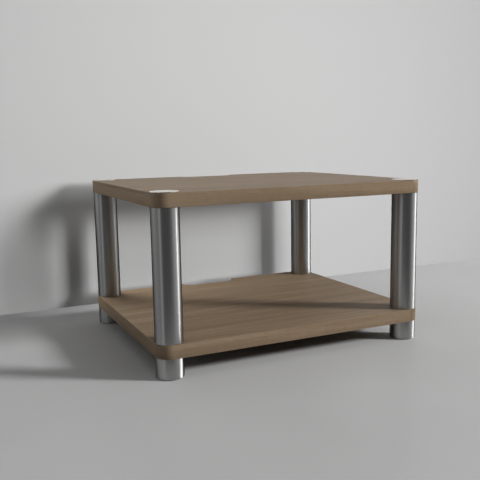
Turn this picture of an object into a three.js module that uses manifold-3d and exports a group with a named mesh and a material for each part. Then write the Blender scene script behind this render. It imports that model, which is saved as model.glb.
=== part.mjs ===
// A low audio equipment rack: two veneered shelves on four columns of brushed steel tube.
// Millimetres. X runs along the width, Y to the back and Z up. The origin is on the floor, under the middle.
import * as THREE from "three";
import { mergeVertices } from "three/addons/utils/BufferGeometryUtils.js";
import Module from "manifold-3d";

// Shelves
const shelfWidth = 556;
const shelfDepth = 462;
const shelfThickness = 25;
const shelfReach = 1; // from a tube's surface out to the shelf's edge
const shelfBevel = 0.8;

// Cable notch in the middle of each back edge; its ends are quarter circles as wide as it is deep
const notchWidth = 130;
const notchDepth = 25;

// Tubes
const tubeDiameter = 50;
const tubeWall = 2;
const tubeEdgeBreak = 0.5;
const bayHeight = 235; // length of a leg tube, from shelf to shelf
const footHeight = 38; // from the floor to the underside of the lower shelf

// Foot base: a turned disc under each foot tube, with a spigot inside it and a recess for the pad
const baseFlangeHeight = 3;
const baseSpigotHeight = 7;
const baseEdgeRound = 1.2;

// Floor pad
const padInset = 5; // from the foot's surface in to the pad's edge
const padThickness = 3;
const padProud = 1;

// Threaded plugs in the tube ends, and the studs that join them through the shelves
const plugHeight = 14;
const studDiameter = 10;
const studTip = 1;
const studEngagement = 12;

// Top cap: a thin disc on the shelf, with a threaded boss below it in a counterbore
const capInset = 0.5; // from the shelf's edge in to the cap's edge
const capProud = 1.2;
const capEdgeBreak = 0.3;
const capBossDiameter = 28;
const capBossHeight = 12;
const capTopWall = 2.4;

// Clearances
const plugClearance = 0.3;
const threadClearance = 0.3;
const studHoleClearance = 0.5;
const bossClearance = 0.4;
const padClearance = 0.4;
const studEndClearance = 0.5;
const cutOverrun = 1;

// Facets round a full turn
const outerFacets = 36;
const innerFacets = 18;
const roundSteps = 2;

// Radii and levels that follow
const tubeRadius = tubeDiameter / 2;
const boreRadius = tubeRadius - tubeWall;
const plugRadius = boreRadius - plugClearance;
const studRadius = studDiameter / 2;
const threadRadius = studRadius + threadClearance;
const padRadius = tubeRadius - padInset;
const bossRadius = capBossDiameter / 2;
const cornerRadius = tubeRadius + shelfReach;
const capRadius = cornerRadius - capInset;
const columnX = shelfWidth / 2 - cornerRadius;
const columnY = shelfDepth / 2 - cornerRadius;
const footTubeBottom = padProud + baseFlangeHeight;
const lowerShelfBottom = footHeight;
const lowerShelfTop = lowerShelfBottom + shelfThickness;
const topShelfBottom = lowerShelfTop + bayHeight;
const topShelfTop = topShelfBottom + shelfThickness;
const capBoreTop = capProud - capTopWall; // measured from the shelf's top face

const corners = [
  { name: "front_left", x: -columnX, y: -columnY },
  { name: "front_right", x: columnX, y: -columnY },
  { name: "rear_left", x: -columnX, y: columnY },
  { name: "rear_right", x: columnX, y: columnY },
];

const veneer = { color: 0x7a6a58, roughness: 0.6, metalness: 0 };
const brushedSteel = { color: 0xb9babb, roughness: 0.3, metalness: 1 };
const polishedSteel = { color: 0xd4d2cc, roughness: 0.15, metalness: 1 };
const aluminium = { color: 0xa5a7a9, roughness: 0.45, metalness: 1 };
const zincPlate = { color: 0x9c9fa3, roughness: 0.4, metalness: 1 };
const rubber = { color: 0x1d1d1e, roughness: 0.9, metalness: 0 };

const wasm = await Module();
wasm.setup();

// A closed geometry as a solid that can be joined and cut.
function solidFrom(geometry) {
  const plain = geometry.clone();
  plain.deleteAttribute("normal");
  plain.deleteAttribute("uv");
  const merged = mergeVertices(plain);
  const vertProperties = Float32Array.from(merged.attributes.position.array);
  const triVerts = Uint32Array.from(merged.index.array);
  return new wasm.Manifold(new wasm.Mesh({ numProp: 3, vertProperties, triVerts }));
}

function geometryFrom(solid) {
  const mesh = solid.getMesh();
  const geometry = new THREE.BufferGeometry();
  geometry.setAttribute("position", new THREE.BufferAttribute(mesh.vertProperties, mesh.numProp));
  geometry.setIndex(new THREE.BufferAttribute(mesh.triVerts, 1));
  geometry.computeVertexNormals();
  return geometry;
}

// A turned piece from its profile, a list of [radius, height] that runs up the outside.
function turned(profile, facets) {
  const points = profile.map(([radius, height]) => new THREE.Vector2(radius, height));
  const geometry = new THREE.LatheGeometry(points, facets);
  geometry.rotateX(Math.PI / 2);
  return geometry;
}

// A turned piece with a bore right through: its profile closes on itself.
function turnedRing(profile, facets) {
  return turned([...profile, profile[0]], facets);
}

// A straight round cutter between two heights.
function cutter(radius, bottom, top, facets) {
  const height = top - bottom;
  const geometry = new THREE.CylinderGeometry(radius, radius, height, facets);
  geometry.rotateX(Math.PI / 2);
  geometry.translate(0, 0, bottom + height / 2);
  return geometry;
}

// The shelf seen from above: round corners on the columns' axes, and the notch in the back edge.
function shelfOutline() {
  const quarter = Math.PI / 2;
  const back = shelfDepth / 2;
  const notchEnd = notchWidth / 2 - notchDepth;
  const outline = new THREE.Shape();
  outline.absarc(columnX, -columnY, cornerRadius, -quarter, 0, false);
  outline.absarc(columnX, columnY, cornerRadius, 0, quarter, false);
  outline.absarc(notchEnd, back, notchDepth, 0, -quarter, true);
  outline.absarc(-notchEnd, back, notchDepth, -quarter, -2 * quarter, true);
  outline.absarc(-columnX, columnY, cornerRadius, quarter, 2 * quarter, false);
  outline.absarc(-columnX, -columnY, cornerRadius, 2 * quarter, 3 * quarter, false);
  return outline;
}

function shelfBoard() {
  const board = new THREE.ExtrudeGeometry(shelfOutline(), {
    depth: shelfThickness - 2 * shelfBevel,
    curveSegments: outerFacets / 4,
    bevelEnabled: true,
    bevelSegments: 1,
    bevelSize: shelfBevel,
    bevelThickness: shelfBevel,
    bevelOffset: -shelfBevel,
  });
  board.translate(0, 0, shelfBevel);
  return board;
}

function atColumn(geometry, corner) {
  const placed = geometry.clone();
  placed.translate(corner.x, corner.y, 0);
  return solidFrom(placed);
}

// One cutter at each column.
function cutAtColumns(solid, cutterGeometry) {
  return corners.reduce((rest, corner) => rest.subtract(atColumn(cutterGeometry, corner)), solid);
}

// Splits the faces round each column, so that the field where equipment stands has faces of its own.
function splitAtColumns(solid) {
  const side = 2 * (cornerRadius + cutOverrun);
  const block = new THREE.BoxGeometry(side, side, shelfThickness + 2 * cutOverrun);
  block.translate(0, 0, shelfThickness / 2);
  const field = solidFrom(geometryFrom(cutAtColumns(solid, block)));
  return corners.reduce((joined, corner) => {
    const cornerPart = solid.intersect(atColumn(block, corner));
    return joined.add(solidFrom(geometryFrom(cornerPart)));
  }, field);
}

function drilledBoard() {
  const holeRadius = studRadius + studHoleClearance;
  const hole = cutter(holeRadius, -cutOverrun, shelfThickness + cutOverrun, innerFacets);
  return cutAtColumns(solidFrom(shelfBoard()), hole);
}

function lowerShelf() {
  return geometryFrom(splitAtColumns(drilledBoard()));
}

function topShelf() {
  const floor = shelfThickness - capBossHeight - bossClearance;
  const counterbore = cutter(bossRadius + bossClearance, floor, shelfThickness + cutOverrun, innerFacets);
  return geometryFrom(splitAtColumns(cutAtColumns(drilledBoard(), counterbore)));
}

// A length of tube with its outer edges broken at both ends.
function tube(length) {
  const edgeRadius = tubeRadius - tubeEdgeBreak;
  const profile = [
    [boreRadius, 0],
    [edgeRadius, 0],
    [tubeRadius, tubeEdgeBreak],
    [tubeRadius, length - tubeEdgeBreak],
    [edgeRadius, length],
    [boreRadius, length],
  ];
  return turnedRing(profile, outerFacets);
}

function threadedPlug() {
  const profile = [
    [threadRadius, 0],
    [plugRadius, 0],
    [plugRadius, plugHeight],
    [threadRadius, plugHeight],
  ];
  return turnedRing(profile, innerFacets);
}

// A stud with a short cone at each tip.
function stud(length) {
  const tipRadius = studRadius - studTip;
  const profile = [
    [0, 0],
    [tipRadius, 0],
    [studRadius, studTip],
    [studRadius, length - studTip],
    [tipRadius, length],
    [0, length],
  ];
  return turned(profile, innerFacets);
}

function footBase() {
  const recessRadius = padRadius + padClearance;
  const recessDepth = padThickness - padProud;
  const roundedEdge = [];
  for (let step = 0; step <= roundSteps; step += 1) {
    const angle = (step / roundSteps) * (Math.PI / 2);
    const radius = tubeRadius - baseEdgeRound + baseEdgeRound * Math.sin(angle);
    roundedEdge.push([radius, baseEdgeRound - baseEdgeRound * Math.cos(angle)]);
  }
  const profile = [
    [0, recessDepth],
    [recessRadius, recessDepth],
    [recessRadius, 0],
    ...roundedEdge,
    [tubeRadius, baseFlangeHeight],
    [plugRadius, baseFlangeHeight],
    [plugRadius, baseFlangeHeight + baseSpigotHeight],
    [0, baseFlangeHeight + baseSpigotHeight],
  ];
  return turned(profile, outerFacets);
}

function floorPad() {
  const profile = [
    [0, 0],
    [padRadius, 0],
    [padRadius, padThickness],
    [0, padThickness],
  ];
  return turned(profile, innerFacets);
}

// The cap's heights are measured from the face of the shelf that it lies on.
function topCap() {
  const profile = [
    [0, capBoreTop],
    [threadRadius, capBoreTop],
    [threadRadius, -capBossHeight],
    [bossRadius, -capBossHeight],
    [bossRadius, 0],
    [capRadius, 0],
    [capRadius, capProud - capEdgeBreak],
    [capRadius - capEdgeBreak, capProud],
    [0, capProud],
  ];
  return turned(profile, outerFacets);
}

const rack = new THREE.Group();

function addPiece(name, geometry, finish, x, y, z) {
  const piece = new THREE.Mesh(geometry, new THREE.MeshStandardMaterial(finish));
  piece.name = name;
  piece.position.set(x, y, z);
  rack.add(piece);
}

addPiece("lower_shelf", lowerShelf(), veneer, 0, 0, lowerShelfBottom);
addPiece("top_shelf", topShelf(), veneer, 0, 0, topShelfBottom);

const lowerStudBottom = lowerShelfBottom - studEngagement;
const lowerStudTop = lowerShelfTop + studEngagement;
const upperStudBottom = topShelfBottom - studEngagement;
const upperStudTop = topShelfTop + capBoreTop - studEndClearance;

for (const corner of corners) {
  const addTurned = (piece, geometry, finish, z) => {
    addPiece(`${piece}_${corner.name}`, geometry, finish, corner.x, corner.y, z);
  };
  addTurned("floor_pad", floorPad(), rubber, 0);
  addTurned("foot_base", footBase(), brushedSteel, padProud);
  addTurned("foot_tube", tube(lowerShelfBottom - footTubeBottom), brushedSteel, footTubeBottom);
  addTurned("foot_plug", threadedPlug(), aluminium, lowerShelfBottom - plugHeight);
  addTurned("lower_stud", stud(lowerStudTop - lowerStudBottom), zincPlate, lowerStudBottom);
  addTurned("leg_lower_plug", threadedPlug(), aluminium, lowerShelfTop);
  addTurned("leg_tube", tube(bayHeight), brushedSteel, lowerShelfTop);
  addTurned("leg_upper_plug", threadedPlug(), aluminium, topShelfBottom - plugHeight);
  addTurned("upper_stud", stud(upperStudTop - upperStudBottom), zincPlate, upperStudBottom);
  addTurned("top_cap", topCap(), polishedSteel, topShelfTop);
}

export default rack;
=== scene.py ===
# A low audio equipment rack: two veneered shelves on four columns of brushed steel tube.
# Metres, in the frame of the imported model: X runs along the width, Y to the back and Z up.
import math

import bmesh
import bpy
from mathutils import Matrix, Vector


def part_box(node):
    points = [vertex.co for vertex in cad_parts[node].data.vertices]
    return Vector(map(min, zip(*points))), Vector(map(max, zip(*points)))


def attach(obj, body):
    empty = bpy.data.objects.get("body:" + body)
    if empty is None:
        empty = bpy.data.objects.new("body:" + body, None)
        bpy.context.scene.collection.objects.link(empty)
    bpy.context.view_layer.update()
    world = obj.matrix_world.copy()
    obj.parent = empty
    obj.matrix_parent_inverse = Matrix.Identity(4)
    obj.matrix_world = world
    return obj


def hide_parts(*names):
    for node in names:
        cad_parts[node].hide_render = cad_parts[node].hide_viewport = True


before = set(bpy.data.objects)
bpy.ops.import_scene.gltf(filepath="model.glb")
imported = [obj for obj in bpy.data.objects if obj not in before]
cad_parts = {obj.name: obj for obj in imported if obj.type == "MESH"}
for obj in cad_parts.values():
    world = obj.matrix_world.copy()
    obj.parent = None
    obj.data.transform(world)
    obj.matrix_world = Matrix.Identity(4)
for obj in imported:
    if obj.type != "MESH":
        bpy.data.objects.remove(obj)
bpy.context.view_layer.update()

MM = 0.001
quarter_turn = math.pi / 2
full_turn = 2 * math.pi
corners = ("front_left", "front_right", "rear_left", "rear_right")
body = "root"

# Camera, solved from the photograph's edges: its turns are in radians
image_width_px = 480
focal_px = 669.9
camera_place = Vector((-0.6140, -1.2771, 0.4068))
camera_yaw = -0.4373
camera_pitch = 0.1482
camera_roll = -0.0174

# Shelves
notch_width = 130 * MM
notch_depth = 25 * MM
shelf_edge_round = 0.8 * MM
stud_hole_radius = 5.5 * MM
boss_bore_radius = 14.4 * MM
boss_bore_depth = 12.4 * MM

# Tubes, feet and caps
tube_wall = 2 * MM
tube_edge_round = 0.5 * MM
spigot_radius = 22.7 * MM
spigot_height = 7 * MM
base_edge_round = 1.2 * MM
pad_recess_radius = 20.4 * MM
pad_recess_depth = 2 * MM
cap_thickness = 1.2 * MM
cap_edge_round = 0.35 * MM
cap_boss_radius = 14 * MM
cap_bore_radius = 5.3 * MM
cap_top_wall = 2.4 * MM

# Segments round the curves, and the angle in degrees past which an edge stays sharp
corner_steps = 20
turned_steps = 96
hole_steps = 32
round_steps = 4
sharp_angle = 32

# Veneer: how many features a metre holds along the grain and across it
drift_scale = (1.8, 6, 0)
band_scale = (1.5, 34, 0)
streak_scale = (5, 150, 0)
fibre_scale = (14, 620, 0)
pore_scale = (70, 2100, 0)
drift_width = 12 * MM
veneer_relief = 0.12 * MM
veneer_specular_level = 0.1

# What each feature makes of the veneer's colour and roughness, from its noise of 0 to 1
band_stops = (
    (0.30, (0.155, 0.110, 0.070)),
    (0.50, (0.194, 0.141, 0.093)),
    (0.72, (0.231, 0.172, 0.117)),
)
streak_stops = ((0.30, (0.88, 0.85, 0.82)), (0.55, 1.0), (0.75, (1.07, 1.08, 1.09)))
fibre_stops = ((0.28, 0.90), (0.60, 1.04))
pore_stops = ((0.33, 0.62), (0.42, 1.0))
veneer_roughness_stops = ((0.25, 0.54), (0.75, 0.45))
noise_middle = 0.5

# How far each board's flat faces and its edges lie along and across the grain map
lower_grain_places = {"faces": (3.7, 1.85), "edges": (3.7, 7.4)}
top_grain_places = {"faces": (9.1, 4.55), "edges": (9.1, 18.2)}

# Metals: how many features a metre holds each way. On the caps the first number is for a whole
# turn. The brushing's direction is a share of a turn, and a quarter lays it round the axis.
tube_line_scale = (26, 26, 5200)
tube_cloud_scale = (22, 22, 14)
cap_line_scale = (0, 4200, 0)
cap_cloud_scale = (8, 60, 0)
plug_line_scale = (30, 30, 2600)
stud_line_scale = (30, 30, 900)
brushing_turn_share = 0.25
steel_relief = 0.02 * MM
plain_metal_relief = 0.04 * MM

# Rubber
grit_scale = (1400, 1400, 1400)
grit_roughness_stops = ((0.3, 0.78), (0.7, 0.92))
patch_scale = (90, 90, 90)
patch_grey_stops = ((0.3, 0.018), (0.7, 0.035))
rubber_relief = 0.06 * MM

# The floor and the wall behind the rack, and how far off they fade into the backdrop
wall_distance = 389.5 * MM
stage_reach = 8.0
backdrop_grey = 0.56
floor_grey_stops = ((0.3, 0.408), (0.7, 0.438))
floor_cloud_scale = (2.2, 2.2, 2.2)
floor_gloss_share = 0.06
floor_gloss_roughness = 0.3
floor_fade_start = 1.5
floor_fade_end = 3.2
wall_grey = 0.36
wall_specular_level = 0.1
wall_fade_start = 1.2
wall_fade_end = 2.6
matt_roughness = 0.9

# What glossy surfaces mirror of them: the floor near the rack, and on the wall a painted shade, a
# dark glowing half oval
mirrored_floor_start = 0.39
mirrored_floor_end = 0.50
mirrored_wall_share = 0.35
painted_shade_half_width = 0.70
painted_shade_height = 0.34
painted_shade_grey = 0.08
painted_shade_rim_shares = (0.75, 1.25)

# The room that glossy surfaces mirror, below the horizon and above it: pairs of degrees from the
# front, positive to the right, and grey
lower_room_greys = (
    (-180, 0.13), (-165, 0.06), (-142, 0.06), (-128, 0.22), (-102, 0.26), (-86, 0.19), (-72, 0.26),
    (-63, 0.40), (-52, 0.11), (-38, 0.08), (12, 0.08), (30, 0.15), (47, 0.39), (60, 0.43),
    (70, 0.57), (80, 0.51), (90, 0.48), (96, 0.44), (104, 0.41), (114, 0.17), (150, 0.13),
    (180, 0.13),
)
upper_room_greys = (
    (-180, 0.30), (-150, 0.26), (-125, 0.38), (-110, 0.34), (-86, 0.19), (-72, 0.26), (-63, 0.40),
    (-52, 0.11), (-38, 0.08), (12, 0.08), (30, 0.15), (47, 0.39), (60, 0.43), (70, 0.57),
    (80, 0.51), (90, 0.48), (96, 0.44), (104, 0.44), (120, 0.46), (138, 0.74), (165, 0.74),
    (180, 0.30),
)
horizon_blend = 0.03

# The soft light from round the rack, in like pairs, and from overhead
soft_greys = (
    (-168, 0.02), (-148, 1.15), (-98, 1.15), (-78, 0.02), (20, 0.02), (50, 0.06), (110, 0.06),
    (140, 0.02),
)
overhead_grey = 0.55
overhead_start = 0.45
overhead_end = 0.65

# Round lamps: distance from the rack's middle, azimuth and elevation in degrees, size across,
# and power in watts
round_lamps = {
    "wall_lamp_high": (1.4, 13, 26, 0.35, 8.5),
    "wall_lamp_low": (2.0, 8, 13, 0.35, 36.0),
    "wall_lamp_far": (3.0, 5, 10, 0.25, 36.0),
    "wall_lamp_side": (5.0, 65, 27, 1.2, 60.0),
    "side_lamp": (9.0, 56.2, 21.6, 1.5, 1170.0),
    "left_lamp": (3.0, -120, 18, 0.8, 21.0),
}
rack_middle = 0.15
rack_aim = (0, 0, rack_middle)
wall_lamp_aim = (0, 0, 0.2)

# A small lamp close behind the rack, aimed at the top of the lower shelf
rear_lamp_place = (-0.30, 0.385, 0.24)
rear_lamp_aim = (-0.05, -0.1, 0.063)
rear_lamp_size = 0.3
rear_lamp_power = 1.9

# Tall strip lamps at the right, in a low and a high place, and their powers in watts
strip_distance = 8.0
strip_azimuth = 87
strip_width = 3.6
strip_height = 8.0
strip_powers = {
    "foot_strip_lamp": 305.0,
    "leg_strip_lamp_low": 200.0,
    "leg_strip_lamp_high": 210.0,
    "rear_left_strip_lamp": 140.0,
}


def rounded(centre, radius, start, end, steps):
    """Points on an arc, as pairs."""
    angles = [start + (end - start) * step / steps for step in range(steps + 1)]
    return [
        (centre[0] + radius * math.cos(angle), centre[1] + radius * math.sin(angle))
        for angle in angles
    ]


def finished_mesh(name, bm, material, node):
    """Makes a piece from a bmesh: it rides on the body and stands for its CAD node."""
    bmesh.ops.recalc_face_normals(bm, faces=bm.faces)
    mesh = bpy.data.meshes.new(name)
    bm.to_mesh(mesh)
    bm.free()
    mesh.materials.append(material)
    piece = bpy.data.objects.new(name, mesh)
    bpy.context.scene.collection.objects.link(piece)
    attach(piece, body)
    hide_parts(node)
    return piece


def add_node(tree, kind, inputs=None, **settings):
    """A shader node with its settings, and its inputs given as values or as sockets to link."""
    made = tree.nodes.new(kind)
    for key, value in settings.items():
        setattr(made, key, value)
    for key, value in (inputs or {}).items():
        if isinstance(value, bpy.types.NodeSocket):
            tree.links.new(value, made.inputs[key])
        else:
            made.inputs[key].default_value = value
    return made


def vector_node(tree, operation, first, second):
    inputs = {0: first, 1: second}
    return add_node(tree, "ShaderNodeVectorMath", inputs, operation=operation).outputs[0]


def length_of(tree, vector):
    made = add_node(tree, "ShaderNodeVectorMath", {0: vector}, operation="LENGTH")
    return made.outputs["Value"]


def math_node(tree, operation, first, second):
    inputs = {0: first, 1: second}
    return add_node(tree, "ShaderNodeMath", inputs, operation=operation).outputs[0]


def object_place(tree):
    """The place on the surface in the object's own metres, which are the frame's."""
    return add_node(tree, "ShaderNodeTexCoord").outputs["Object"]


def mapped_place(tree, uv_map):
    """The place on one of the surface's own maps."""
    return add_node(tree, "ShaderNodeUVMap", uv_map=uv_map).outputs["UV"]


def noise(tree, vector, scale, detail, roughness=0.5):
    """Noise stretched by a scale along each axis."""
    stretched = vector_node(tree, "MULTIPLY", vector, scale)
    inputs = {"Vector": stretched, "Scale": 1.0, "Detail": detail, "Roughness": roughness}
    return add_node(tree, "ShaderNodeTexNoise", inputs).outputs["Fac"]


def ramp(tree, value, stops):
    """A colour ramp from (position, grey or colour) pairs."""
    made = add_node(tree, "ShaderNodeValToRGB", {"Fac": value})
    elements = made.color_ramp.elements
    while len(elements) < len(stops):
        elements.new(0.5)
    for element, (position, colour) in zip(elements, stops):
        element.position = position
        rgb = colour if isinstance(colour, tuple) else (colour,) * 3
        element.color = (*rgb, 1)
    return made.outputs["Color"]


def rise_between(tree, value, start, end, interpolation="SMOOTHSTEP"):
    """0 below the start and 1 past the end, with a rise between them."""
    inputs = {"Value": value, "From Min": start, "From Max": end, "To Min": 0.0, "To Max": 1.0}
    made = add_node(tree, "ShaderNodeMapRange", inputs, interpolation_type=interpolation)
    return made.outputs[0]


def mixed(tree, factor, first, second, blend="MIX"):
    """Two colours mixed: the node takes them at its sockets 6 and 7 and gives the result at 2."""
    inputs = {0: factor, 6: first, 7: second}
    made = add_node(tree, "ShaderNodeMix", inputs, data_type="RGBA", blend_type=blend)
    return made.outputs[2]


def grey_colour(grey):
    return (grey, grey, grey, 1)


def new_material(name):
    """A material, its node tree and its surface shader."""
    material = bpy.data.materials.new(name)
    material.use_nodes = True
    tree = material.node_tree
    return material, tree, tree.nodes["Principled BSDF"]


def bumped(tree, shader, height, strength, distance):
    """Gives the surface a relief, in which a height of 1 stands as high as the distance."""
    inputs = {"Height": height, "Strength": strength, "Distance": distance}
    bump = add_node(tree, "ShaderNodeBump", inputs)
    tree.links.new(bump.outputs["Normal"], shader.inputs["Normal"])


def veneer_material():
    """Straight-grained veneer: the grain map's first axis runs along the grain, in metres."""
    material, tree, shader = new_material("veneer")
    grain = mapped_place(tree, "grain")
    drift = math_node(tree, "SUBTRACT", noise(tree, grain, drift_scale, detail=2), noise_middle)
    across = math_node(tree, "MULTIPLY", drift, drift_width)
    shift = add_node(tree, "ShaderNodeCombineXYZ", {"Y": across}).outputs[0]
    wavy = vector_node(tree, "ADD", grain, shift)

    bands = noise(tree, wavy, band_scale, detail=5, roughness=0.6)
    streaks = noise(tree, wavy, streak_scale, detail=4, roughness=0.55)
    fibres = noise(tree, wavy, fibre_scale, detail=3)
    pores = noise(tree, wavy, pore_scale, detail=2)

    colour = ramp(tree, bands, band_stops)
    pore_tint = ramp(tree, pores, pore_stops)
    for tint in (ramp(tree, streaks, streak_stops), ramp(tree, fibres, fibre_stops), pore_tint):
        colour = mixed(tree, 1.0, colour, tint, "MULTIPLY")
    tree.links.new(colour, shader.inputs["Base Color"])

    roughness = ramp(tree, streaks, veneer_roughness_stops)
    tree.links.new(roughness, shader.inputs["Roughness"])
    shader.inputs["Specular IOR Level"].default_value = veneer_specular_level
    relief = math_node(tree, "ADD", fibres, pore_tint)
    bumped(tree, shader, relief, strength=0.25, distance=veneer_relief)
    return material


def shades(base, dark_share, light_share):
    """A darker and a lighter colour than the base."""
    dark = tuple(dark_share * part for part in base)
    light = tuple(min(1.0, light_share * part) for part in base)
    return dark, light


def steel_material(name, base, smoothest, roughest, anisotropy, edge_grey, turned):
    """Steel brushed or turned round its axis, which draws out what it reflects across the lines."""
    material, tree, shader = new_material(name)
    if turned:
        place = mapped_place(tree, "turning")
        lines = noise(tree, place, cap_line_scale, detail=3, roughness=0.7)
        clouds = noise(tree, place, cap_cloud_scale, detail=2)
    else:
        place = object_place(tree)
        lines = noise(tree, place, tube_line_scale, detail=3, roughness=0.65)
        clouds = noise(tree, place, tube_cloud_scale, detail=3)
    dark, light = shades(base, dark_share=0.93, light_share=1.05)
    colour = ramp(tree, lines, [(0.30, dark), (0.70, light)])
    tree.links.new(colour, shader.inputs["Base Color"])
    wear = math_node(tree, "MULTIPLY", math_node(tree, "ADD", lines, clouds), 0.5)
    roughness = ramp(tree, wear, [(0.35, smoothest), (0.65, roughest)])
    tree.links.new(roughness, shader.inputs["Roughness"])
    shader.inputs["Metallic"].default_value = 1.0
    shader.inputs["Anisotropic"].default_value = anisotropy
    shader.inputs["Anisotropic Rotation"].default_value = brushing_turn_share
    shader.inputs["Specular Tint"].default_value = grey_colour(edge_grey)
    tangent = add_node(tree, "ShaderNodeTangent", direction_type="RADIAL", axis="Z")
    tree.links.new(tangent.outputs[0], shader.inputs["Tangent"])
    bumped(tree, shader, lines, strength=0.12, distance=steel_relief)
    return material


def plain_metal_material(name, base, smoothest, roughest, line_scale):
    """Turned or plated metal for the pieces inside the columns."""
    material, tree, shader = new_material(name)
    lines = noise(tree, object_place(tree), line_scale, detail=3)
    dark, light = shades(base, dark_share=0.88, light_share=1.08)
    colour = ramp(tree, lines, [(0.3, dark), (0.7, light)])
    tree.links.new(colour, shader.inputs["Base Color"])
    roughness = ramp(tree, lines, [(0.3, smoothest), (0.7, roughest)])
    tree.links.new(roughness, shader.inputs["Roughness"])
    shader.inputs["Metallic"].default_value = 1.0
    bumped(tree, shader, lines, strength=0.2, distance=plain_metal_relief)
    return material


def rubber_material():
    """Matt black rubber with a fine grit."""
    material, tree, shader = new_material("pad_rubber")
    place = object_place(tree)
    grit = noise(tree, place, grit_scale, detail=3)
    patches = noise(tree, place, patch_scale, detail=2)
    tree.links.new(ramp(tree, patches, patch_grey_stops), shader.inputs["Base Color"])
    tree.links.new(ramp(tree, grit, grit_roughness_stops), shader.inputs["Roughness"])
    bumped(tree, shader, grit, strength=0.35, distance=rubber_relief)
    return material


veneer = veneer_material()
tube_steel = steel_material(
    "tube_steel", base=(0.52, 0.52, 0.517), smoothest=0.28, roughest=0.33,
    anisotropy=1.0, edge_grey=0.2, turned=False,
)
cap_steel = steel_material(
    "cap_steel", base=(0.88, 0.82, 0.72), smoothest=0.18, roughest=0.24,
    anisotropy=0.85, edge_grey=1.0, turned=True,
)
plug_aluminium = plain_metal_material(
    "plug_aluminium", base=(0.62, 0.63, 0.64), smoothest=0.357, roughest=0.483,
    line_scale=plug_line_scale,
)
stud_zinc = plain_metal_material(
    "stud_zinc", base=(0.55, 0.56, 0.58), smoothest=0.323, roughest=0.437,
    line_scale=stud_line_scale,
)
pad_rubber = rubber_material()


def axis_of(node):
    """The middle of a node's box, seen from above."""
    low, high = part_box(node)
    return Vector(((low.x + high.x) / 2, (low.y + high.y) / 2, 0))


def shelf_outline(back, corner_radius, column, inset):
    """The shelf from above, anticlockwise from the front right corner, drawn in by an inset."""
    radius = corner_radius - inset
    notch_end = notch_width / 2 - notch_depth
    notch_radius = notch_depth + inset
    mouth = math.asin(inset / notch_radius)
    half_turn = 2 * quarter_turn
    points = rounded((column.x, -column.y), radius, -quarter_turn, 0, corner_steps)
    points += rounded((column.x, column.y), radius, 0, quarter_turn, corner_steps)
    points += rounded((notch_end, back), notch_radius, -mouth, -quarter_turn, corner_steps)
    points += rounded(
        (-notch_end, back), notch_radius, -quarter_turn, mouth - half_turn, corner_steps
    )
    points += rounded((-column.x, column.y), radius, quarter_turn, half_turn, corner_steps)
    points += rounded((-column.x, -column.y), radius, half_turn, 3 * quarter_turn, corner_steps)
    return points


def edge_profile(thickness):
    """Pairs of inset and height up the shelf's edge, round at the bottom and the top."""
    bend = shelf_edge_round
    lower = rounded((bend, bend), bend, 3 * quarter_turn, 2 * quarter_turn, round_steps)
    upper = rounded((bend, thickness - bend), bend, 2 * quarter_turn, quarter_turn, round_steps)
    return lower + upper


def neighbours(ring):
    """Each point of a ring with the next one round."""
    return zip(ring, ring[1:] + ring[:1])


def bridge(bm, first, second):
    """Quads between two rings of as many vertices."""
    return [
        bm.faces.new((first_here, first_there, second_there, second_here))
        for (first_here, first_there), (second_here, second_there)
        in zip(neighbours(first), neighbours(second))
    ]


def ring_edges(bm, ring):
    """The edges that join a ring's vertices, made before by a face."""
    return [bm.edges.get(pair) for pair in neighbours(ring)]


def make_shelf_edge(bm, grain, rings, outline, grain_place):
    """The shelf's edge, through its rings. The grain runs round the outline."""
    along = [0.0]
    for here, there in neighbours(outline):
        along.append(along[-1] + math.dist(here, there))
    height = 0.0
    for lower, upper in zip(rings, rings[1:]):
        top = height + (upper[0].co - lower[0].co).length
        for face, start, end in zip(bridge(bm, lower, upper), along, along[1:]):
            spread = ((start, height), (end, height), (end, top), (start, top))
            for loop, (run, rise) in zip(face.loops, spread):
                loop[grain].uv = (run + grain_place[0], rise + grain_place[1])
            face.smooth = True
        height = top


def make_bore(bm, axis, bottom, bore):
    """The wall of a bore. It returns the edges at the bore's bottom and at its top."""
    circles = []
    for radius, height in bore:
        points = rounded((axis.x, axis.y), radius, 0, -full_turn, hole_steps)[:-1]
        circles.append([bm.verts.new((x, y, bottom + height)) for x, y in points])
    for lower, upper in zip(circles, circles[1:]):
        bridge(bm, lower, upper)
    return ring_edges(bm, circles[0]), ring_edges(bm, circles[-1])


def make_shelf_face(bm, grain, edges, normal, grain_place):
    """A flat face of the shelf, inside its outline and round its bores."""
    filled = bmesh.ops.triangle_fill(bm, use_beauty=True, edges=edges, normal=normal)
    for face in filled["geom"]:
        if isinstance(face, bmesh.types.BMFace):
            for loop in face.loops:
                x, y, _ = loop.vert.co
                loop[grain].uv = (x + grain_place[0], y + grain_place[1])


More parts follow.
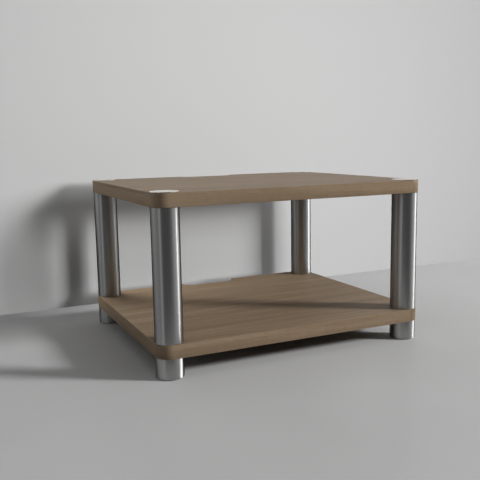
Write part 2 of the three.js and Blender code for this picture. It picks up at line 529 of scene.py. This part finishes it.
def make_shelf(node, bore, grain_places):
    """A shelf with its notch, round edges and four bores. A bore is pairs of radius and height
    above the shelf's bottom."""
    low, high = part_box(node)
    column = axis_of("leg_tube_rear_right")
    corner_radius = high.x - column.x
    bm = bmesh.new()
    grain = bm.loops.layers.uv.new("grain")

    rings = []
    for inset, height in edge_profile(high.z - low.z):
        points = shelf_outline(high.y, corner_radius, column, inset)
        rings.append([bm.verts.new((x, y, low.z + height)) for x, y in points])
    outline = shelf_outline(high.y, corner_radius, column, 0)
    make_shelf_edge(bm, grain, rings, outline, grain_places["edges"])

    bottom_edges = ring_edges(bm, rings[0])
    top_edges = ring_edges(bm, rings[-1])
    for edge in bottom_edges + top_edges:
        edge.smooth = False
    for corner in corners:
        bore_bottom, bore_top = make_bore(bm, axis_of("leg_tube_" + corner), low.z, bore)
        bottom_edges += bore_bottom
        top_edges += bore_top
    make_shelf_face(bm, grain, bottom_edges, (0, 0, -1), grain_places["faces"])
    make_shelf_face(bm, grain, top_edges, (0, 0, 1), grain_places["faces"])
    return finished_mesh(node + "_board", bm, veneer, node)


def make_turned(node, finish, profile, material):
    """A turned piece. Its profile is pairs of radius and height, and starts and ends on the axis
    or closes on itself."""
    axis = axis_of(node)
    bm = bmesh.new()
    turning = bm.loops.layers.uv.new("turning")
    rings = []
    for radius, height in profile:
        if radius == 0:
            rings.append([bm.verts.new((axis.x, axis.y, height))])
        else:
            points = rounded((axis.x, axis.y), radius, 0, full_turn, turned_steps)[:-1]
            rings.append([bm.verts.new((x, y, height)) for x, y in points])
    pairs = list(zip(rings, rings[1:]))
    if profile[0][0] != 0:
        pairs.append((rings[-1], rings[0]))
    travel = 0.0
    for first, second in pairs:
        step = (second[0].co - first[0].co).length
        for here in range(turned_steps):
            there = (here + 1) % turned_steps
            start, end = here / turned_steps, (here + 1) / turned_steps
            if len(first) == 1:
                ring = (first[0], second[there], second[here])
                turns = (start, end, start)
            elif len(second) == 1:
                ring = (first[here], first[there], second[0])
                turns = (start, end, start)
            else:
                ring = (first[here], first[there], second[there], second[here])
                turns = (start, end, end, start)
            face = bm.faces.new(ring)
            face.smooth = True
            for loop, turn in zip(face.loops, turns):
                rise = 0.0 if loop.vert in first else step
                loop[turning].uv = (turn, travel + rise)
        travel += step
    piece = finished_mesh(node + "_" + finish, bm, material, node)
    piece.data.set_sharp_from_angle(angle=math.radians(sharp_angle))


def make_tube(kind, corner):
    """A leg or foot tube, open at both ends, with its outer edges rounded."""
    node = kind + "_" + corner
    low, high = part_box(node)
    radius = (high.x - low.x) / 2
    bend = tube_edge_round
    bore = radius - tube_wall
    lower = rounded((radius - bend, low.z + bend), bend, -quarter_turn, 0, round_steps)
    upper = rounded((radius - bend, high.z - bend), bend, 0, quarter_turn, round_steps)
    profile = [(bore, low.z), *lower, *upper, (bore, high.z)]
    make_turned(node, "brushed", profile, tube_steel)


def make_foot_base(corner):
    """The foot's lower end: a rounded flange with a recess for the pad, and a spigot above it."""
    node = "foot_base_" + corner
    low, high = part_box(node)
    radius = (high.x - low.x) / 2
    bend = base_edge_round
    flange_top = high.z - spigot_height
    profile = [
        (0, low.z + pad_recess_depth),
        (pad_recess_radius, low.z + pad_recess_depth),
        (pad_recess_radius, low.z),
        *rounded((radius - bend, low.z + bend), bend, -quarter_turn, 0, 2 * round_steps),
        (radius, flange_top),
        (spigot_radius, flange_top),
        (spigot_radius, high.z),
        (0, high.z),
    ]
    make_turned(node, "turned", profile, tube_steel)


def make_top_cap(corner):
    """A thin disc with a bored boss under it."""
    node = "top_cap_" + corner
    low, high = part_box(node)
    radius = (high.x - low.x) / 2
    bend = cap_edge_round
    seat = high.z - cap_thickness
    bore_top = high.z - cap_top_wall
    profile = [
        (0, bore_top),
        (cap_bore_radius, bore_top),
        (cap_bore_radius, low.z),
        (cap_boss_radius, low.z),
        (cap_boss_radius, seat),
        (radius, seat),
        *rounded((radius - bend, high.z - bend), bend, 0, quarter_turn, round_steps),
        (0, high.z),
    ]
    make_turned(node, "turned", profile, cap_steel)


shelf_low, shelf_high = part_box("top_shelf")
shelf_thickness = shelf_high.z - shelf_low.z
boss_bore_floor = shelf_thickness - boss_bore_depth
plain_bore = [(stud_hole_radius, 0), (stud_hole_radius, shelf_thickness)]
stepped_bore = [
    (stud_hole_radius, 0),
    (stud_hole_radius, boss_bore_floor),
    (boss_bore_radius, boss_bore_floor),
    (boss_bore_radius, shelf_thickness),
]
lower_board = make_shelf("lower_shelf", plain_bore, lower_grain_places)
top_board = make_shelf("top_shelf", stepped_bore, top_grain_places)
for corner in corners:
    make_tube("leg_tube", corner)
    make_tube("foot_tube", corner)
    make_foot_base(corner)
    make_top_cap(corner)

# The pieces inside the columns and under the feet stay as they are and get their finish.
inner_finishes = {
    "foot_plug": plug_aluminium,
    "leg_lower_plug": plug_aluminium,
    "leg_upper_plug": plug_aluminium,
    "lower_stud": stud_zinc,
    "upper_stud": stud_zinc,
    "floor_pad": pad_rubber,
}
for kind, finish in inner_finishes.items():
    for corner in corners:
        part = bpy.data.objects[kind + "_" + corner]
        part.data.materials.clear()
        part.data.materials.append(finish)


def stage_plane(name, points, material):
    """A flat part of the stage, through its four corners."""
    mesh = bpy.data.meshes.new(name)
    mesh.from_pydata(points, [], [(0, 1, 2, 3)])
    mesh.materials.append(material)
    plane = bpy.data.objects.new(name, mesh)
    bpy.context.scene.collection.objects.link(plane)
    return plane


def mixed_shaders(tree, share, first, second):
    return add_node(tree, "ShaderNodeMixShader", {0: share, 1: first, 2: second}).outputs[0]


def light_path(tree, kind):
    """1 for the rays of a kind, such as Is Camera Ray, and 0 for the others."""
    return add_node(tree, "ShaderNodeLightPath").outputs[kind]


def plain_emission(tree, grey):
    return add_node(tree, "ShaderNodeEmission", {"Color": grey_colour(grey)}).outputs[0]


def faded(tree, surface, start, end):
    """Far from the rack, the camera sees the backdrop in place of the surface."""
    far = rise_between(tree, length_of(tree, object_place(tree)), start, end)
    share = math_node(tree, "MULTIPLY", light_path(tree, "Is Camera Ray"), far)
    return mixed_shaders(tree, share, surface, plain_emission(tree, backdrop_grey))


def floor_material():
    """A matt floor with a faint gloss. What mirrors it sees it near the rack only."""
    material, tree, shader = new_material("floor")
    place = object_place(tree)
    clouds = noise(tree, place, floor_cloud_scale, detail=3)
    tree.links.new(ramp(tree, clouds, floor_grey_stops), shader.inputs["Base Color"])
    shader.inputs["Roughness"].default_value = matt_roughness
    shader.inputs["Specular IOR Level"].default_value = 0.0
    gloss_inputs = {"Roughness": floor_gloss_roughness}
    gloss = add_node(tree, "ShaderNodeBsdfAnisotropic", gloss_inputs).outputs[0]
    surface = mixed_shaders(tree, floor_gloss_share, shader.outputs[0], gloss)

    beyond = rise_between(tree, length_of(tree, place), mirrored_floor_start, mirrored_floor_end)
    unseen = math_node(tree, "MULTIPLY", light_path(tree, "Is Glossy Ray"), beyond)
    clear = add_node(tree, "ShaderNodeBsdfTransparent").outputs[0]
    surface = mixed_shaders(tree, unseen, surface, clear)
    surface = faded(tree, surface, floor_fade_start, floor_fade_end)
    tree.links.new(surface, tree.nodes["Material Output"].inputs["Surface"])
    return material


def wall_material():
    """A matt wall, seen from the front only, so that the rack can be looked at from behind.
    What mirrors it sees a painted shade behind the rack, a dark glowing half oval, and beyond that
    the wall in part."""
    material, tree, shader = new_material("wall")
    shader.inputs["Base Color"].default_value = grey_colour(wall_grey)
    shader.inputs["Roughness"].default_value = matt_roughness
    shader.inputs["Specular IOR Level"].default_value = wall_specular_level
    surface = faded(tree, shader.outputs[0], wall_fade_start, wall_fade_end)

    # Painted shade: glossy rays see a dark glow in this half oval, in place of the lit wall behind
    # the rack.
    oval_scale = (1 / painted_shade_half_width, 0, 1 / painted_shade_height)
    oval_place = vector_node(tree, "MULTIPLY", object_place(tree), oval_scale)
    beyond = rise_between(tree, length_of(tree, oval_place), *painted_shade_rim_shares)
    mirrored = light_path(tree, "Is Glossy Ray")
    dark = math_node(tree, "MULTIPLY", mirrored, math_node(tree, "SUBTRACT", 1.0, beyond))
    surface = mixed_shaders(tree, dark, surface, plain_emission(tree, painted_shade_grey))

    unseen_share = math_node(tree, "MULTIPLY", beyond, 1 - mirrored_wall_share)
    unseen = math_node(tree, "MULTIPLY", mirrored, unseen_share)
    back = add_node(tree, "ShaderNodeNewGeometry").outputs["Backfacing"]
    clear = add_node(tree, "ShaderNodeBsdfTransparent").outputs[0]
    surface = mixed_shaders(tree, math_node(tree, "MAXIMUM", back, unseen), surface, clear)
    tree.links.new(surface, tree.nodes["Material Output"].inputs["Surface"])
    return material


floor_points = [
    (-stage_reach, -stage_reach, 0),
    (stage_reach, -stage_reach, 0),
    (stage_reach, stage_reach, 0),
    (-stage_reach, stage_reach, 0),
]
wall_points = [
    (-stage_reach, wall_distance, 0),
    (stage_reach, wall_distance, 0),
    (stage_reach, wall_distance, stage_reach),
    (-stage_reach, wall_distance, stage_reach),
]
floor = stage_plane("floor", floor_points, floor_material())
wall = stage_plane("wall", wall_points, wall_material())
# The wall casts no shadow, so that the lamp behind it reaches the rack.
wall.visible_shadow = False


def linked_collection(name, things):
    """A collection that a lamp names, and that the scene doesn't hold."""
    made = bpy.data.collections.new(name)
    for thing in things:
        made.objects.link(thing)
    return made


def around(distance, azimuth, elevation):
    """A place round the rack, in degrees: azimuth from the front, positive to the right."""
    turn, rise = math.radians(azimuth), math.radians(elevation)
    level = distance * math.cos(rise)
    height = rack_middle + distance * math.sin(rise)
    return Vector((level * math.sin(turn), -level * math.cos(turn), height))


def area_light(name, place, aim, size, power, targets):
    """A round lamp that lights only its targets and isn't mirrored. All in its way casts a shadow."""
    data = bpy.data.lights.new(name, "AREA")
    data.shape = "DISK"
    data.size = size
    data.energy = power
    lamp = bpy.data.objects.new(name, data)
    lamp.location = place
    lamp.rotation_mode = "QUATERNION"
    lamp.rotation_quaternion = (Vector(aim) - Vector(place)).to_track_quat("-Z", "Y")
    lamp.visible_camera = False
    lamp.visible_glossy = False
    bpy.context.scene.collection.objects.link(lamp)
    lamp.light_linking.receiver_collection = linked_collection(name + "_targets", targets)
    return lamp


def round_light(name, aim, targets):
    """One of the round lamps, in its own place round the rack."""
    distance, azimuth, elevation, size, power = round_lamps[name]
    area_light(name, around(distance, azimuth, elevation), aim, size, power, targets)


def strip_light(name, middle, targets):
    """A tall lamp that only its targets mirror, and that only the columns can hide from them."""
    level_aim = (0, 0, middle.z)
    lamp = area_light(name, middle, level_aim, strip_width, strip_powers[name], targets)
    lamp.data.shape = "RECTANGLE"
    lamp.data.size_y = strip_height
    lamp.visible_glossy = True
    lamp.light_linking.blocker_collection = linked_collection(name + "_blockers", columns)


meshes = [thing for thing in bpy.context.scene.objects if thing.type == "MESH"]
floor_and_rack = [thing for thing in meshes if thing != wall]
rack = [thing for thing in floor_and_rack if thing != floor]
columns = [thing for thing in rack if tube_steel.name in thing.data.materials]
feet = [thing for thing in columns if "foot" in thing.name]
rear_left_leg = [thing for thing in columns if "leg_tube_rear_left" in thing.name]
other_legs = [thing for thing in columns if thing not in feet and thing not in rear_left_leg]

# The wall lamps draw the rack's shadow on the wall, and the side lamp is the main light.
for name in ("wall_lamp_high", "wall_lamp_low", "wall_lamp_far", "wall_lamp_side"):
    round_light(name, wall_lamp_aim, [wall])
round_light("side_lamp", rack_aim, floor_and_rack)

# These two lift the left side of the top shelf and the top of the lower shelf.
round_light("left_lamp", rack_aim, [top_board])
area_light(
    "rear_lamp", rear_lamp_place, rear_lamp_aim, rear_lamp_size, rear_lamp_power, [lower_board]
)

# The strips draw a bright line down each column.
half_strip = Vector((0, 0, strip_height / 2))
low_strip = around(strip_distance, strip_azimuth, 0) - half_strip
high_strip = around(strip_distance, strip_azimuth, 0) + half_strip
strip_light("foot_strip_lamp", low_strip, feet)
strip_light("leg_strip_lamp_low", low_strip, other_legs)
strip_light("leg_strip_lamp_high", high_strip, other_legs)
strip_light("rear_left_strip_lamp", high_strip, rear_left_leg)


def greys_round(tree, turn, greys):
    """The greys that stand at degrees from the front, blended round the rack."""
    return ramp(tree, turn, [((degrees + 180) / 360, grey) for degrees, grey in greys])


def studio_world():
    """A pale backdrop for the camera; a room with bright and dark sides for what is glossy."""
    world = bpy.data.worlds.new("studio")
    bpy.context.scene.world = world
    world.use_nodes = True
    tree = world.node_tree
    tree.nodes.clear()
    toward = add_node(tree, "ShaderNodeTexCoord").outputs["Generated"]
    parts = add_node(tree, "ShaderNodeSeparateXYZ", {0: toward}).outputs
    front = math_node(tree, "MULTIPLY", parts["Y"], -1.0)
    azimuth = math_node(tree, "ARCTAN2", parts["X"], front)
    turn = rise_between(tree, azimuth, -math.pi, math.pi, "LINEAR")

    lower = greys_round(tree, turn, lower_room_greys)
    upper = greys_round(tree, turn, upper_room_greys)
    above = rise_between(tree, parts["Z"], -horizon_blend, horizon_blend, "LINEAR")
    room = mixed(tree, above, lower, upper)
    sides = greys_round(tree, turn, soft_greys)
    overhead = rise_between(tree, parts["Z"], overhead_start, overhead_end, "LINEAR")
    ambient = mixed(tree, overhead, sides, grey_colour(overhead_grey))

    soft = mixed(tree, light_path(tree, "Is Glossy Ray"), ambient, room)
    backdrop = grey_colour(backdrop_grey)
    seen = mixed(tree, light_path(tree, "Is Camera Ray"), soft, backdrop)
    background = add_node(tree, "ShaderNodeBackground", {"Color": seen, "Strength": 1.0})
    output = add_node(tree, "ShaderNodeOutputWorld", {"Surface": background.outputs[0]})
    output.is_active_output = True


studio_world()


def place_camera():
    """Yaw turns to the left, pitch looks down, and roll turns the picture."""
    level = math.cos(camera_pitch)
    ahead = (-math.sin(camera_yaw) * level, math.cos(camera_yaw) * level, -math.sin(camera_pitch))
    forward = Vector(ahead)
    right = Vector((math.cos(camera_yaw), math.sin(camera_yaw), 0))
    up = right.cross(forward)
    rolled_right = math.cos(camera_roll) * right + math.sin(camera_roll) * up
    rolled_up = math.cos(camera_roll) * up - math.sin(camera_roll) * right
    data = bpy.data.cameras.new("camera")
    data.lens = data.sensor_width * focal_px / image_width_px
    camera = bpy.data.objects.new("camera", data)
    axes = Matrix((rolled_right, rolled_up, -forward)).transposed()
    camera.matrix_world = Matrix.Translation(camera_place) @ axes.to_4x4()
    bpy.context.scene.collection.objects.link(camera)
    bpy.context.scene.camera = camera


place_camera()
bpy.context.scene.view_settings.view_transform = "Standard"
